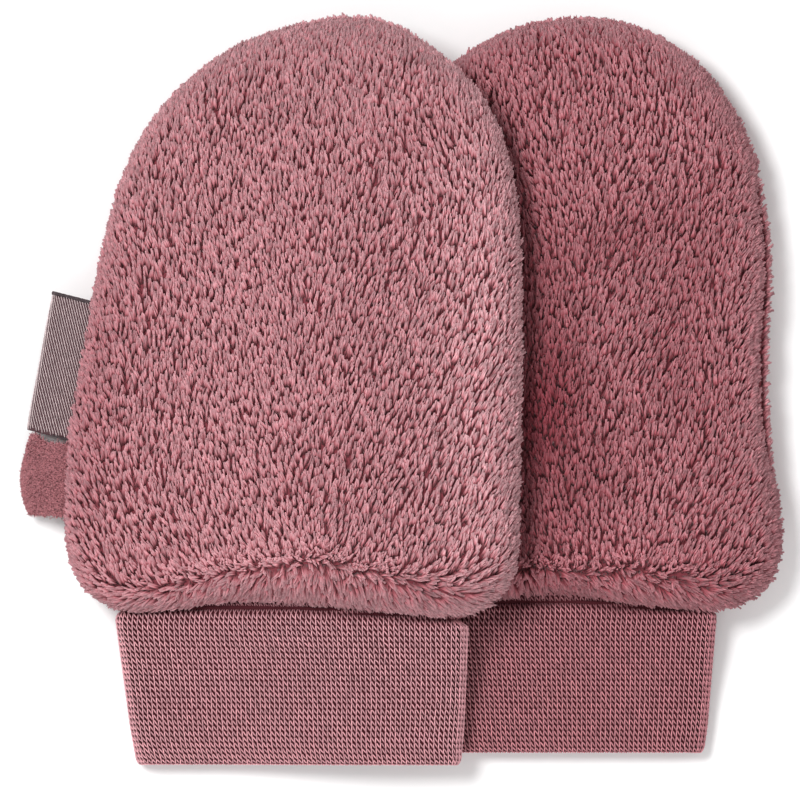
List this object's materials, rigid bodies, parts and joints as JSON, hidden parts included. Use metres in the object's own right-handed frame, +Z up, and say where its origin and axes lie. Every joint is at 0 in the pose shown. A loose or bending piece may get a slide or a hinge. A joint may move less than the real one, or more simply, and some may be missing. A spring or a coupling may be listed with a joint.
{
  "type": "pair of baby mittens",
  "caption": "Pair of thumbless baby mittens in thick plush with long knitted cuffs, laid flat, one lapping over the other, with a blank side label and a small cloth tab.",
  "frame": {"origin": "on the surface the pair lies on, under the right mitten's back panel, at the middle of the pair's outline as seen from above", "axes": "+Z up out of the surface, +Y towards the fingertips, +X from the left mitten to the right one"},
  "size_m": [0.1267, 0.1252, 0.0272],
  "materials": {
    "plush_left_front": "deep soft pile, dusty pink",
    "plush_left_back": "deep soft pile, dusty pink",
    "plush_right_front": "deep soft pile, dusty pink",
    "plush_right_back": "deep soft pile, dusty pink",
    "knit_left": "fine plain knit, matte",
    "knit_right": "fine plain knit, matte",
    "woven_label": "woven twill, grey rose, plain",
    "tab_cloth": "short soft nap, matte"
  },
  "bodies": {
    "root": {"left_front_panel": "plush_left_front", "left_back_panel": "plush_left_back", "left_cuff": "knit_left", "right_front_panel": "plush_right_front", "right_back_panel": "plush_right_back", "right_cuff": "knit_right", "left_label": "woven_label", "left_tab": "tab_cloth"}
  },
  "joints": []
}
